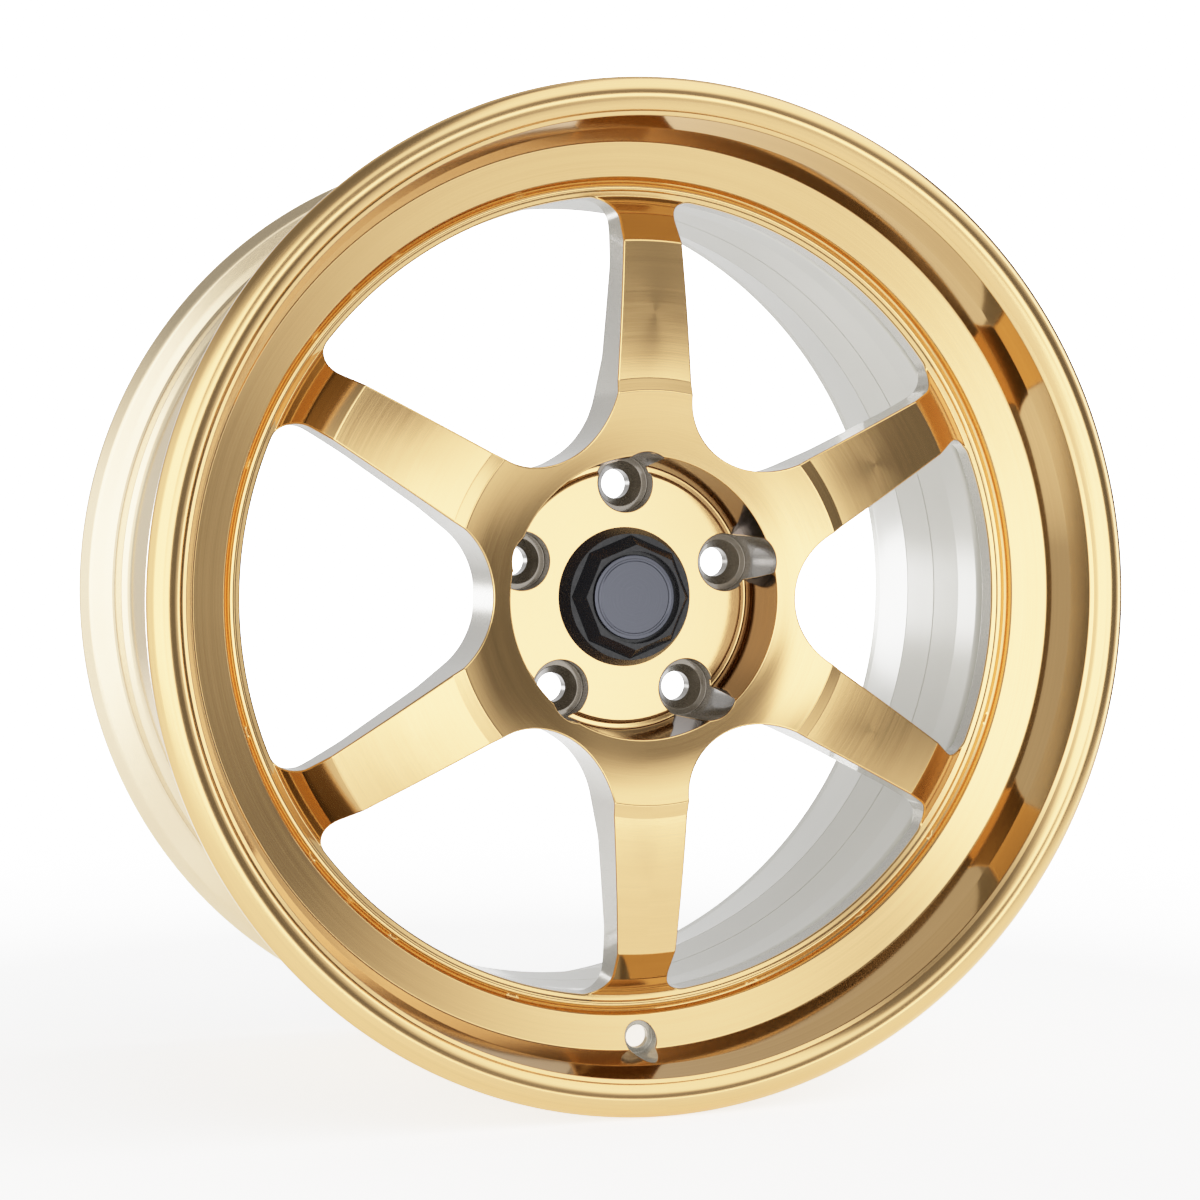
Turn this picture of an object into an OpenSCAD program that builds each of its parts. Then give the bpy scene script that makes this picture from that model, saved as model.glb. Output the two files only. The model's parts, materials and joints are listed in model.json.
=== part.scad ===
// One-piece forged racing wheel, 18 x 9J, six straight spokes, with a removable centre cap.
// The axle lies along Y and the painted face looks toward -Y. The origin is the middle of the rim.

/* [Rim] */
// Radius over the rim flanges
flange_r = 248.5; // [246:0.5:250]
// Distance between the outer faces of the two flanges
rim_w = 250; // [244:1:262]
// Radius of the bead seats where they meet the flanges
seat_r = 231; // [230:0.1:232]
// Radius of the rounded crown on each flange
crown_r = 9.8; // [9.6:0.05:10.2]
// Outside radius of the drop centre
well_r = 209.5; // [208.8:0.1:210.5]
// Inside radius of the barrel behind the spokes
bore_front_r = 199; // [198.6:0.1:200]
// Inside radius of the barrel at the rear bead seat
bore_rear_r = 221; // [219:0.5:222]

/* [Face] */
// Radius of the inner edge of the outer lip
lip_r = 230.3; // [229.8:0.1:230.8]
// Radius of the crease half way down the lip wall
lip_crease_r = 226.5; // [226:0.1:227]
// Outer radius of the flat face band
band_outer_r = 222.6; // [221:0.2:223]
// Inner radius of the flat face band
band_inner_r = 206.6; // [206:0.2:208]
// Radius of the round bead between the band and the spokes
bead_r = 202.2; // [202:0.1:202.6]
// Radius of the outer edge of the windows
window_r = 198; // [197:0.2:198.2]

/* [Spokes] */
// Number of spokes
spoke_n = 6; // [6:1:6]
// Half width of a spoke at its hub end
spoke_half_in = 19.05; // [17:0.25:21]
// Half width of a spoke at its rim end
spoke_half_out = 15.2; // [13:0.2:17]
// Distance from the axle to the hub end of the spoke face
spoke_in = 107.2; // [105:0.2:110]
// Distance from the axle to the crease at the rim end of the spoke face
spoke_out = 174.3; // [168:0.5:178]
// Radius of the round inner end of each window
window_root_r = 40.3; // [38:0.1:42]
// Distance from the axle to the centre of that round end
window_root_c = 119.1; // [118:0.1:121]
// Radius of the outer corners of each window
window_corner_r = 11; // [8:0.5:14]

/* [Hub] */
// Height of the mounting face above the middle of the rim, the wheel offset
offset_et = 35; // [33:0.5:38]
// Radius of the mounting pad on the back
pad_back_r = 70; // [68:0.5:72]
// Radius of the bore that centres the wheel on the car
hub_bore_r = 36.55; // [32:0.05:37]
// Depth of that bore
hub_bore_d = 12; // [8:0.5:14]
// Radius of the bore that holds the centre cap
cap_bore_r = 31; // [30.6:0.05:31.4]
// Radius of the hub recess at its front edge
recess_r = 69.7; // [69:0.1:71]
// Radius of the flat pad inside the recess
pad_front_r = 64; // [62:0.5:64.5]
// Height of that pad above the middle of the rim
pad_front_z = 58.1; // [57:0.1:60]

/* [Wheel bolts] */
// Diameter of the bolt circle
bolt_pcd = 114.3; // [112:0.1:114.3]
// Number of bolts
bolt_n = 5; // [5:1:5]
// Radius of each nut pocket
pocket_r = 14.6; // [14:0.1:15]
// Depth of the nut pocket below the pad
pocket_d = 8.5; // [6:0.5:10]
// Radius of the wide end of the conical seat
cone_r = 11.5; // [10:0.1:12]
// Radius of the bolt hole
bolt_r = 7.5; // [7:0.05:8]

/* [Valve hole] */
// Distance from the axle to the valve hole
valve_c = 217.6; // [217:0.1:218]
// Radius of the valve hole
valve_r = 5.75; // [5.65:0.05:5.85]
// Radius of its counterbore
valve_cb_r = 8.2; // [8:0.1:8.6]

/* [Centre cap] */
// Radius of the cap where it meets the pad
cap_r = 35; // [34:0.1:36]
// Radius of the round shoulder
cap_shoulder_r = 31.6; // [31.2:0.1:32.5]
// Height of the round shoulder above the pad
cap_shoulder_h = 8.2; // [7:0.1:9]
// Corner radius of the eight-sided top at its base
cap_oct_base_r = 31; // [30:0.1:31.5]
// Corner radius of the eight-sided top at its front
cap_oct_top_r = 26.2; // [25:0.1:27]
// Height of the eight-sided part
cap_oct_h = 8.7; // [7:0.1:10]
// Radius of the dish that holds the emblem
dish_r = 23; // [22.5:0.1:23.4]
// Depth of that dish
dish_d = 4.6; // [4:0.1:5]
// Radius of the emblem disc
emblem_r = 21.2; // [20:0.1:22]
// Thickness of the emblem disc
emblem_t = 1.6; // [1:0.1:2]
// Thickness of the adhesive pad under the emblem
pad_t = 0.8; // [0.5:0.1:1]
// Number of snap legs on the cap
leg_n = 6; // [4:1:8]
// Length of each snap leg
leg_l = 11; // [8:0.5:11]
// Wire radius of the spring ring inside the legs
wire_r = 1; // [0.8:0.1:1.2]

/* [Hidden] */
$fn = 128;
// Gap between the cap and the wheel
gap = 0.3;
// Overlap used so that cutters pass right through
over = 1;
// Heights along the axle, positive toward the painted face
z_front = rim_w / 2;
z_tip = z_front - 4.4;
crown_c = [flange_r - 8.25, z_front - crown_r];
z_lip = z_front - 5.6;
z_crease = z_front - 18.4;
z_band_out = z_front - 35.7;
z_band_in = z_front - 43.3;
z_bead = z_front - 47.1;
z_window = z_front - 49.9;
z_spoke_out = z_front - 30.4;
z_spoke_in = z_front - 25.9;
z_ring = z_front - 24.4;
z_recess = z_front - 35.2;
z_step = z_front - 63;
z_seat_in = z_front - 36;
z_well = z_front - 65;
z_waist = -37.4;
// Height of the drop centre's steep front wall
z_wall = z_front - 49;
// Height where each flange meets its bead seat
z_foot = z_front - 15;
// Height of the crease inside the inboard bead seat
z_rear_crease = -z_front + 21.6;
// Radius of the lip wall where it reaches the flange
lip_foot_r = lip_crease_r + (lip_r - lip_crease_r) * (z_foot - z_crease) / (z_lip - z_crease);
// Radius inside the waist of the barrel
waist_r = 206;
// Radius of the safety hump beside each bead seat
hump_r = seat_r - 0.6;
// Inside radius of the barrel where the rear slope meets the inboard bead seat
slope_foot_r = waist_r + (bore_rear_r - waist_r) * (z_waist + z_seat_in) / (z_waist - z_rear_crease);
// Inside radius of the barrel where the inboard bead seat meets its flange
bore_foot_r = bore_rear_r + (z_foot + z_rear_crease) / 9;
// Radius where the spokes end and the face band begins
split_r = 180;
// Section radius of the round bead
bead_w = 2;
// Radius of the high ring where the hub dish starts
ring_r = 101;
// Radius of the back contour where the spokes leave the hub
root_r = 79;
z_root = offset_et + 22;
// Radius of the hub dish arc in section
dish_arc_r = 115;
// Groove round the pad in the hub recess
groove_r = 67;
groove_z = pad_front_z - 3.6;
pad_edge_r = 2;
// Geometry of one window, measured from the window centre line
half_step = 180 / spoke_n;
edge_in = [-spoke_in * sin(half_step) + spoke_half_in * cos(half_step),
           spoke_in * cos(half_step) + spoke_half_in * sin(half_step)];
edge_out = [-spoke_out * sin(half_step) + spoke_half_out * cos(half_step),
            spoke_out * cos(half_step) + spoke_half_out * sin(half_step)];
edge_len = norm(edge_out - edge_in);
edge_dir = (edge_out - edge_in) / edge_len;
edge_nrm = [edge_dir[1], -edge_dir[0]];
root_c = [0, window_root_c];
root_t = edge_in + ((root_c - edge_in) * edge_dir) * edge_dir;
// Centre of the outer corner circle: on a line parallel to the flank, inside the window radius
line_p = edge_in + window_corner_r * edge_nrm;
line_b = line_p * edge_dir;
line_c = line_p * line_p - pow(window_r - window_corner_r, 2);
corner_s = -line_b + sqrt(line_b * line_b - line_c);
corner_c = line_p + corner_s * edge_dir;
corner_t = corner_c - window_corner_r * edge_nrm;
corner_far = corner_c * (window_r / norm(corner_c)) * 1.2;
// Cap
z_cap = pad_front_z + gap;
z_shoulder = z_cap + cap_shoulder_h;
z_cap_top = z_shoulder + cap_oct_h;
z_dish = z_cap_top - dish_d;
leg_r = cap_bore_r - gap;
leg_t = 2;
leg_gap = 7;
hollow_r = dish_r;
ring_z = z_cap - leg_l + 4;
ring_c = leg_r - leg_t - wire_r;

// Turns a body drawn about Z so that the axle lies along Y and the face looks toward -Y
module face_on() {
    rotate([90, 0, 0]) children();
}

// Outline of one window, centred on +Y
module window_2d() {
    intersection() {
        circle(r = window_r);
        polygon([corner_c, corner_far, [-corner_far[0], corner_far[1]], [-corner_c[0], corner_c[1]]]);
    }
    for (s = [1, -1]) {
        translate([s * corner_c[0], corner_c[1]]) circle(r = window_corner_r);
    }
    polygon([root_t, corner_t, corner_c, [-corner_c[0], corner_c[1]], [-corner_t[0], corner_t[1]],
             [-root_t[0], root_t[1]], root_c]);
    translate(root_c) circle(r = window_root_r);
}

// All the windows as cutters through the whole face
module windows() {
    for (i = [0 : spoke_n - 1]) {
        rotate([0, 0, half_step + i * 2 * half_step])
            translate([0, 0, offset_et - over])
                linear_extrude(height = z_front - offset_et) window_2d();
    }
}

// Section of the turned face, from the cap bore out to the face band and the drop centre's front wall
module face_section() {
    difference() {
        union() {
            polygon([[cap_bore_r, offset_et], [pad_back_r, offset_et], [root_r, z_root],
                     [ring_r, z_root + 6], [120, z_root + 15], [165, z_root + 18],
                     [split_r, z_root + 14], [190, z_root + 8], [window_r, z_step],
                     [bore_front_r, z_well], [well_r, z_well], [well_r, z_wall - 4],
                     [well_r + 3.5, z_wall], [seat_r - 4.5, z_wall + 2], [seat_r - 2.5, z_wall + 4],
                     [hump_r, z_band_out - 2], [hump_r, z_band_out], [band_outer_r, z_band_out],
                     [band_inner_r, z_band_in], [band_inner_r - 0.8, z_band_in - 2.6],
                     [bead_r + bead_w, z_bead - bead_w], [bead_r - bead_w, z_bead - bead_w],
                     [window_r, z_window], [188.5, z_window + 8.6], [spoke_out, z_spoke_out],
                     [spoke_in, z_spoke_in], [ring_r, z_ring], [recess_r, z_ring],
                     [recess_r, z_recess], [groove_r, groove_z], [pad_front_r, groove_z],
                     [pad_front_r, pad_front_z - pad_edge_r],
                     [pad_front_r - pad_edge_r, pad_front_z], [cap_bore_r, pad_front_z]]);
            translate([bead_r, z_bead - bead_w]) circle(r = bead_w);
        }
        dish_section();
    }
}

// Section of the concave dish turned into the front of the hub ring
module dish_section() {
    a = [ring_r, z_ring];
    b = [recess_r, z_recess];
    m = (a + b) / 2;
    l = norm(a - b);
    n = [-(a - b)[1], (a - b)[0]] / l;
    translate(m + n * sqrt(dish_arc_r * dish_arc_r - l * l / 4)) circle(r = dish_arc_r);
}

// Turned face with its windows milled out
module face() {
    difference() {
        rotate_extrude() face_section();
        windows();
    }
}

// Wedge that holds one spoke, from the high ring of the hub out to the face band
module spoke_zone() {
    difference() {
        intersection() {
            linear_extrude(height = z_front)
                polygon([[0, 0], [-z_front, z_front * 2], [z_front, z_front * 2]]);
            cylinder(r = split_r, h = z_front);
        }
        translate([0, 0, -over]) cylinder(r = ring_r, h = z_front + 2 * over);
    }
}

// One spoke, numbered clockwise from the top
module spoke(i) {
    color("goldenrod")
        face_on()
            rotate([0, 0, -i * 2 * half_step])
                intersection() {
                    face();
                    spoke_zone();
                }
}

module spoke_1() { spoke(0); }

module spoke_2() { spoke(1); }

module spoke_3() { spoke(2); }

module spoke_4() { spoke(3); }

module spoke_5() { spoke(4); }

module spoke_6() { spoke(5); }

// Nut pocket, conical seat and bolt hole
module bolt_cut() {
    floor_z = pad_front_z - pocket_d;
    cone_h = (cone_r - bolt_r) / tan(30);
    translate([0, 0, floor_z]) cylinder(r = pocket_r, h = z_front);
    translate([0, 0, floor_z - cone_h]) cylinder(r1 = bolt_r, r2 = cone_r, h = cone_h);
    translate([0, 0, offset_et - over]) cylinder(r = bolt_r, h = z_front - offset_et);
}

// Hub: mounting pad, bores, recess, bolt pockets and the high ring that carries the spokes
module hub() {
    color("darkgoldenrod")
        face_on()
            difference() {
                intersection() {
                    face();
                    cylinder(r = ring_r, h = z_front);
                }
                translate([0, 0, offset_et - over]) cylinder(r = hub_bore_r, h = hub_bore_d + over);
                for (i = [0 : bolt_n - 1]) {
                    rotate([0, 0, -i * 360 / bolt_n]) translate([0, bolt_pcd / 2, 0]) bolt_cut();
                }
            }
}

// Valve hole with its counterbore, cut from the front at the bottom of the wheel
module valve_cut() {
    translate([0, -valve_c, z_well + over]) cylinder(r = valve_r, h = z_front);
    translate([0, -valve_c, z_wall + 5.2]) cylinder(r = valve_cb_r, h = z_front);
}

// Outer limit of a flange in section: rim edge and the side that faces the tyre
module flange_limit() {
    polygon([[well_r, z_foot], [well_r, z_front + over], [flange_r, z_front + over],
             [flange_r, z_tip - 3], [flange_r - 5, z_tip - 7.4], [seat_r + 5, z_foot + 2],
             [seat_r + 1, z_foot + 1.2], [seat_r, z_foot]]);
}

// Flange ring: rounded crown and the wall behind it, with its inner side given as a list of points
module flange_ring(inner_side) {
    intersection() {
        union() {
            rotate_extrude() translate(crown_c) circle(r = crown_r);
            rotate_extrude() polygon(concat([crown_c, [crown_c[0], z_foot]], inner_side));
        }
        rotate_extrude() flange_limit();
    }
}

// Outer flange with the broad rounded lip
module outer_flange() {
    color("gold")
        face_on()
            flange_ring([[lip_foot_r, z_foot], [lip_r, z_lip], [lip_r + 1.9, z_lip + 1]]);
}

// Outboard bead seat, with the lip wall on its inside
module outer_bead_seat() {
    color("khaki")
        face_on()
            difference() {
                rotate_extrude()
                    polygon([[lip_foot_r, z_foot], [seat_r, z_foot], [seat_r - 1.7, z_band_out + 1.8],
                             [hump_r, z_band_out + 0.8], [hump_r, z_band_out],
                             [band_outer_r, z_band_out], [lip_crease_r, z_crease]]);
                valve_cut();
            }
}

// Flat face band and the round bead inside it, with the spoke ends and the valve hole
module face_band() {
    color("khaki")
        face_on()
            difference() {
                face();
                translate([0, 0, -over]) cylinder(r = split_r, h = z_front + 2 * over);
                valve_cut();
            }
}

// Drop centre of the barrel
module drop_centre() {
    color("tan")
        face_on()
            rotate_extrude()
                polygon([[bore_front_r, z_well], [well_r, z_well], [well_r, 0],
                         [well_r + 2, z_waist], [waist_r, z_waist], [waist_r - 2, 0],
                         [bore_front_r + 2.5, z_well - 15]]);
}

// Rear slope of the barrel
module rear_barrel() {
    color("burlywood")
        face_on()
            rotate_extrude()
                polygon([[waist_r, z_waist], [well_r + 2, z_waist], [seat_r - 5, -z_seat_in + 3],
                         [hump_r, -z_seat_in + 0.8], [hump_r, -z_seat_in],
                         [slope_foot_r, -z_seat_in]]);
}

// Inboard bead seat
module inner_bead_seat() {
    color("khaki")
        face_on()
            rotate_extrude()
                polygon([[slope_foot_r, -z_seat_in], [hump_r, -z_seat_in],
                         [seat_r - 1.7, -z_seat_in - 1.2], [seat_r, -z_foot],
                         [bore_foot_r, -z_foot], [bore_rear_r, z_rear_crease]]);
}

// Inboard flange
module inner_flange() {
    color("tan")
        face_on()
            mirror([0, 0, 1])
                flange_ring([[bore_foot_r, z_foot], [bore_rear_r + 1, z_front - 12.6],
                             [lip_r + 1.9, z_lip + 1]]);
}

// Cap: round base, eight-sided top with a dish, and snap legs behind
module cap_body() {
    color("black")
        face_on() {
            difference() {
                union() {
                    translate([0, 0, z_cap]) cylinder(r1 = cap_r, r2 = cap_shoulder_r, h = cap_shoulder_h);
                    translate([0, 0, z_shoulder])
                        cylinder(r1 = cap_oct_base_r, r2 = cap_oct_top_r, h = cap_oct_h, $fn = 8);
                }
                translate([0, 0, z_dish]) cylinder(r = dish_r, h = dish_d + over);
                translate([0, 0, z_cap - over]) cylinder(r = leg_r - leg_t, h = cap_shoulder_h - 2 + over);
                translate([0, 0, z_cap - over]) cylinder(r = hollow_r, h = z_dish - z_cap - 2 + over);
            }
            difference() {
                rotate_extrude()
                    polygon([[leg_r - leg_t, z_cap], [leg_r - leg_t, z_cap - leg_l],
                             [leg_r - 0.8, z_cap - leg_l], [leg_r, z_cap - leg_l + 2],
                             [leg_r, z_cap]]);
                for (i = [0 : leg_n - 1]) {
                    rotate([0, 0, i * 360 / leg_n])
                        translate([leg_r, 0, z_cap - leg_l / 2])
                            cube([2 * leg_r, leg_gap, leg_l + 2], center = true);
                }
            }
        }
}

// Wire ring that springs the legs outward
module cap_spring_ring() {
    color("silver")
        face_on()
            translate([0, 0, ring_z])
                rotate_extrude() translate([ring_c, 0]) circle(r = wire_r);
}

// Plain emblem disc
module cap_emblem() {
    color("slategray")
        face_on()
            translate([0, 0, z_dish + pad_t]) cylinder(r = emblem_r, h = emblem_t);
}

// Adhesive pad that holds the emblem
module cap_adhesive() {
    color("dimgray")
        face_on()
            translate([0, 0, z_dish]) cylinder(r = emblem_r - 1, h = pad_t);
}

outer_flange();
outer_bead_seat();
face_band();
drop_centre();
rear_barrel();
inner_bead_seat();
inner_flange();
hub();
spoke_1();
spoke_2();
spoke_3();
spoke_4();
spoke_5();
spoke_6();
cap_body();
cap_spring_ring();
cap_emblem();
cap_adhesive();
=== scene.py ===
import json
import math
from bisect import bisect_right

import bpy
from mathutils import Matrix, Vector
from mathutils.geometry import delaunay_2d_cdt


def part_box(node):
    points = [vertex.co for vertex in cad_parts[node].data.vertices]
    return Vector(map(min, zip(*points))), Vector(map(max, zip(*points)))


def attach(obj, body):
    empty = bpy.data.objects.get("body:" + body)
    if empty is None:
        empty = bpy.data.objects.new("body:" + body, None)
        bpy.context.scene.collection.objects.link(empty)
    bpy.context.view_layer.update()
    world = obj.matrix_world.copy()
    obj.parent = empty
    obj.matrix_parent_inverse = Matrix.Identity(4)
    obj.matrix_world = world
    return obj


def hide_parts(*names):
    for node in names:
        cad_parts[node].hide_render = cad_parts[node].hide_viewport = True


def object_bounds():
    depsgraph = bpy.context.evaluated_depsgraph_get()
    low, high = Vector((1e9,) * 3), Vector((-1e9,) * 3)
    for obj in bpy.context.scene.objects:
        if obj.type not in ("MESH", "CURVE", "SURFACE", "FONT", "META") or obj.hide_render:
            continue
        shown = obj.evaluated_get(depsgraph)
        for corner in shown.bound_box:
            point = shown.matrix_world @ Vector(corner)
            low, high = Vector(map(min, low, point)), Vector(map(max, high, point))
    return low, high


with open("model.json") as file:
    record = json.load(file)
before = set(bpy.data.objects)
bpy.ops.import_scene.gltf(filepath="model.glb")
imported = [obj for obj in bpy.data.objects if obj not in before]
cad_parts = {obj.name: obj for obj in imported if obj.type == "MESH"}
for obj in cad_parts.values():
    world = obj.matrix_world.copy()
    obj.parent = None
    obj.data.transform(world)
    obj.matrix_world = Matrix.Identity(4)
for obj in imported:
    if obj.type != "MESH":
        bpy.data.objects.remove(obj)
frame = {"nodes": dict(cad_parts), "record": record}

cad_lo, cad_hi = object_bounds()
MM = 0.001

# ---------------------------------------------------------------- sizes taken from the frame, in mm
flange_lo, flange_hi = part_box("outer_flange")
_, hub_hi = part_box("hub")
R_FLANGE = flange_hi.z / MM
Z_FRONT = -flange_lo.y / MM
Z_BACK = -hub_hi.y / MM
mounts = {m["name"]: m for m in frame["record"]["mounts"]}
R_BOLTS = mounts["bolt_circle"]["dims"]["pcd_mm"] / 2
N_BOLTS = mounts["bolt_circle"]["dims"]["count"]
R_BOLT = mounts["bolt_circle"]["dims"]["hole_r_mm"]
R_BORE = mounts["hub_bore"]["dims"]["r_mm"]
BORE_DEPTH = mounts["hub_bore"]["dims"]["length_mm"]
R_VALVE = mounts["valve_hole"]["dims"]["r_mm"]
VALVE_C = -mounts["valve_hole"]["pos_m"][2] / MM
SPOKES = 6
STEP = math.tau / SPOKES        # angle from one spoke to the next
RING_N = 360                    # sides of a full turn about the axle
CORNER_STEPS = 5                # straight pieces in an eased corner of a section
EDGE_STEPS = 3                  # rows of faces round a hole's edge
RIM_GAP = 0.05                  # how near a hole's outline an edge point lies

# ---------------------------------------------------------------- section paths
# A path runs with the air on its left. Each node is (r, z, tangent or None, group); nodes of one group
# belong to one smooth curve, everything else is a straight piece.
_group = [0]


def arc(cr, cz, rad, a0, a1, n):
    """Nodes on a circle in the section, angles in degrees from +r toward +z."""
    _group[0] += 1
    turn = 1 if a1 > a0 else -1
    out = []
    for i in range(n + 1):
        a = math.radians(a0 + (a1 - a0) * i / n)
        t = (-math.sin(a) * turn, math.cos(a) * turn)
        out.append((cr + rad * math.cos(a), cz + rad * math.sin(a), t, _group[0]))
    return out


def unit(a, b):
    """Direction from a to b."""
    d = math.hypot(b[0] - a[0], b[1] - a[1]) or 1.0
    return ((b[0] - a[0]) / d, (b[1] - a[1]) / d)


def path(*items):
    """Items are (r, z), (r, z, ease) or a list of nodes from arc(). Eased corners become small curves."""
    flat = []
    for it in items:
        if isinstance(it, list):
            flat += [(n[0], n[1], 0, n) for n in it]
        else:
            flat.append((it[0], it[1], it[2] if len(it) > 2 else 0, None))
    out = []
    for i, (r, z, ease, node) in enumerate(flat):
        if node:
            out.append(node)
        elif not ease:
            out.append((r, z, None, None))
        else:
            u1 = unit(flat[i - 1], (r, z))
            u2 = unit((r, z), flat[i + 1])
            _group[0] += 1
            for k in range(CORNER_STEPS + 1):
                t = k / CORNER_STEPS
                a, b, c = (1 - t) ** 2, 2 * t * (1 - t), t * t
                p0 = (r - u1[0] * ease, z - u1[1] * ease)
                p2 = (r + u2[0] * ease, z + u2[1] * ease)
                d = unit((0, 0), (u1[0] * (1 - t) + u2[0] * t, u1[1] * (1 - t) + u2[1] * t))
                out.append((a * p0[0] + b * r + c * p2[0], a * p0[1] + b * z + c * p2[1], d, _group[0]))
    return out


def spans(nodes_):
    """(node a, node b, tangent at a, tangent at b) for each piece of a path."""
    out = []
    for a, b in zip(nodes_, nodes_[1:]):
        if math.hypot(b[0] - a[0], b[1] - a[1]) < 1e-6:
            continue
        u = unit(a, b)
        if a[3] is not None and a[3] == b[3]:
            out.append((a, b, a[2], b[2]))
        else:
            out.append((a, b, u, u))
    return out


# ---------------------------------------------------------------- welded points, faces with corner normals
points, index_of = [], {}
faces = []              # (corner indices, corner normals, node name, finish)
finish = ["turned"]     # the finish of the faces being made, where a tag names only their node


def put(x, y, z):
    """Index of a point; points that agree to a tenth of a micrometre are one."""
    key = (round(x, 4), round(y, 4), round(z, 4))
    if key not in index_of:
        index_of[key] = len(points)
        points.append((x, y, z))
    return index_of[key]


def add_face(ids, normals, tag):
    """Stores a face, turned to agree with its normals; faces without area are dropped."""
    keep = [i for i in range(len(ids)) if ids[i] != ids[i - 1]]
    ids = [ids[i] for i in keep]
    normals = [normals[i] for i in keep]
    if len(set(ids)) < 3:
        return
    p = [Vector(points[i]) for i in ids]
    g = Vector()
    for i in range(1, len(p) - 1):
        g += (p[i] - p[0]).cross(p[i + 1] - p[0])
    if g.length < 1e-9:
        return
    s = Vector()
    for n in normals:
        s += n
    if g.dot(s) < 0:
        ids, normals = ids[::-1], normals[::-1]
    faces.append((ids, normals, *tag) if isinstance(tag, tuple) else (ids, normals, tag, finish[0]))


def turned(nodes_, tag, n=RING_N, cx=0.0, cy=0.0):
    """Surface of revolution of a path about the axle, or about a parallel axis at (cx, cy)."""
    dirs = [(math.sin(math.tau * k / n), math.cos(math.tau * k / n)) for k in range(n)]
    for a, b, ta, tb in spans(nodes_):
        ra = [put(cx + a[0] * s, cy + a[0] * c, a[1]) for s, c in dirs]
        rb = [put(cx + b[0] * s, cy + b[0] * c, b[1]) for s, c in dirs]
        na = [Vector((-ta[1] * s, -ta[1] * c, ta[0])) for s, c in dirs]
        nb = [Vector((-tb[1] * s, -tb[1] * c, tb[0])) for s, c in dirs]
        for k in range(n):
            j = (k + 1) % n
            mid = ((a[0] + b[0]) / 2, (a[1] + b[1]) / 2, dirs[k])
            add_face([ra[k], ra[j], rb[j], rb[k]], [na[k], na[j], nb[j], nb[k]],
                     tag(*mid) if callable(tag) else tag)


# ---------------------------------------------------------------- cutouts, all parallel to the axle
class Round:
    """A round hole in plan."""

    def __init__(self, cx, cy, r, n):
        self.cx, self.cy, self.r, self.n = cx, cy, r, n

    def outline(self, off):
        r = self.r + off
        turns = [math.tau * k / self.n for k in range(self.n)]
        return [(self.cx + r * math.sin(a), self.cy + r * math.cos(a)) for a in turns]

    def project(self, x, y):
        a = math.atan2(x - self.cx, y - self.cy) % math.tau
        return a / math.tau, (math.sin(a), math.cos(a))

    def distance(self, x, y):
        return abs(math.hypot(x - self.cx, y - self.cy) - self.r)

    def near(self, x, y, r):
        return math.hypot(x - self.cx, y - self.cy) < self.r + 1

    def holds(self, x, y, r, off):
        return math.hypot(x - self.cx, y - self.cy) < self.r + off


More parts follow.
